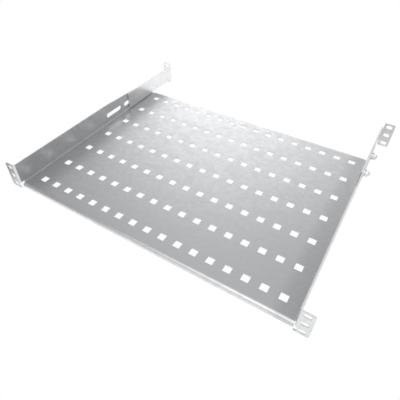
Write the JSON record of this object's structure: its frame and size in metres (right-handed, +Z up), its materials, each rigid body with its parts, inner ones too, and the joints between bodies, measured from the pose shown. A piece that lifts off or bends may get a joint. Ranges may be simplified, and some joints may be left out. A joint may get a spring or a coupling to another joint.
{
  "type": "cantilever rack shelf",
  "caption": "Shallow folded sheet steel tray with a vented deck, slotted tapering side walls and front mounting ears, and sliding rear brackets with ears for the rear rails.",
  "frame": {"origin": "in the plane where the front ears bear on the front rails, midway between the left and right ear slots, at the middle height of the ears", "axes": "+X to the right seen from the front, +Y to the rear of the rack, +Z up"},
  "size_m": [0.4826, 0.4182, 0.0436],
  "materials": {
    "galvanised_sheet": "galvanised steel sheet, matt satin with a faint fine spangle",
    "zinc_fastener": "bright zinc plated"
  },
  "bodies": {
    "shelf": {"tray": "galvanised_sheet"},
    "left_bracket": {"rear_bracket_left": "galvanised_sheet", "stud_left_front": "zinc_fastener", "washer_left_front": "zinc_fastener", "nut_left_front": "zinc_fastener", "stud_left_rear": "zinc_fastener", "washer_left_rear": "zinc_fastener", "nut_left_rear": "zinc_fastener"},
    "right_bracket": {"rear_bracket_right": "galvanised_sheet", "stud_right_front": "zinc_fastener", "washer_right_front": "zinc_fastener", "nut_right_front": "zinc_fastener", "stud_right_rear": "zinc_fastener", "washer_right_rear": "zinc_fastener", "nut_right_rear": "zinc_fastener"}
  },
  "joints": [
    {"name": "left_bracket_slide", "type": "slide", "parent": "shelf", "child": "left_bracket", "axis": [0, 1, 0], "range_m": [-0.032, 0]},
    {"name": "right_bracket_slide", "type": "slide", "parent": "shelf", "child": "right_bracket", "axis": [0, 1, 0], "range_m": [-0.032, 0]}
  ]
}
